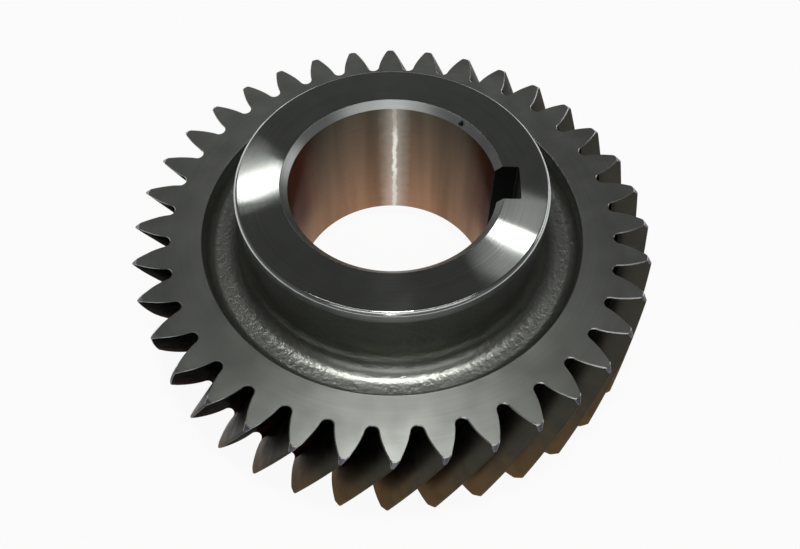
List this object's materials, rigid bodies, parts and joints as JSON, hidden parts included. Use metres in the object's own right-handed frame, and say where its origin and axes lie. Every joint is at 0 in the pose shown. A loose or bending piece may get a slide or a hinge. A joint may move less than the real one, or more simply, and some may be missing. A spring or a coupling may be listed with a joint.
{
  "type": "helical transmission gear",
  "caption": "One-piece helical transmission gear with a raised hub, a grooved web, chamfered tooth tips and a keyed bore.",
  "frame": {"origin": "on the bore's axis, in the plane of the rim's lower face, which the gear stands on", "axes": "+Z along the bore towards the raised hub's end face, +X through the middle of the keyway"},
  "size_m": [0.161, 0.161, 0.055],
  "materials": {
    "gear_steel": "case-hardened steel: turned hub face and rim faces, hobbed and ground flanks, ground bore, shot-blasted web, thin oil film"
  },
  "bodies": {
    "root": {"helical_gear": "gear_steel"}
  },
  "joints": []
}
